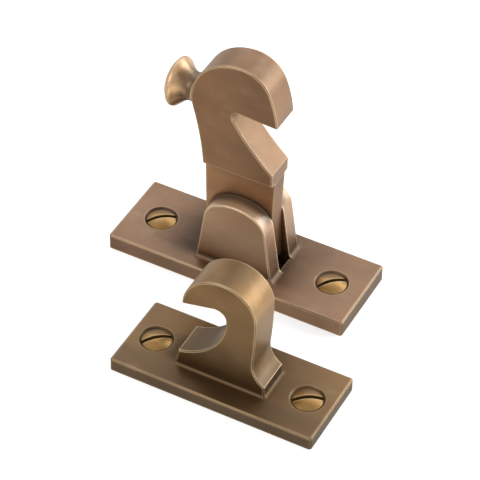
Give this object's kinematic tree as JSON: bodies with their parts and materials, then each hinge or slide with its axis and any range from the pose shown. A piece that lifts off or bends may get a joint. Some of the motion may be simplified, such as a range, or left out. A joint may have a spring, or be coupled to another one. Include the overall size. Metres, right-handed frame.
{
  "type": "door catch",
  "caption": "Gravity door catch in aged brass: a hooked arm with a round knob tips on a pivot between plate cheeks, and interlocks with a hooked keep.",
  "frame": {"origin": "middle of the underside of the catch plate, which lies on the door or frame", "axes": "+X along the catch plate, the way the arm's hook opens; +Y from the keep towards the catch; +Z out of the surface, along the raised arm"},
  "size_m": [0.0659, 0.0523, 0.0701],
  "materials": {
    "catch_brass": "satin",
    "keep_brass": "satin",
    "screw_brass": "satin"
  },
  "bodies": {
    "fixed": {"catch_plate": "catch_brass", "pivot_pin": "catch_brass", "catch_screw_left": "screw_brass", "catch_screw_right": "screw_brass", "keep": "keep_brass", "keep_screw_left": "screw_brass", "keep_screw_right": "screw_brass"},
    "arm": {"hook_arm": "catch_brass", "knob": "catch_brass"}
  },
  "joints": [
    {"name": "arm_hinge", "type": "hinge", "parent": "fixed", "child": "arm", "pos_m": [0.0004, 0, 0.0131], "axis": [0, 1, 0], "range_deg": [0, 90]}
  ]
}
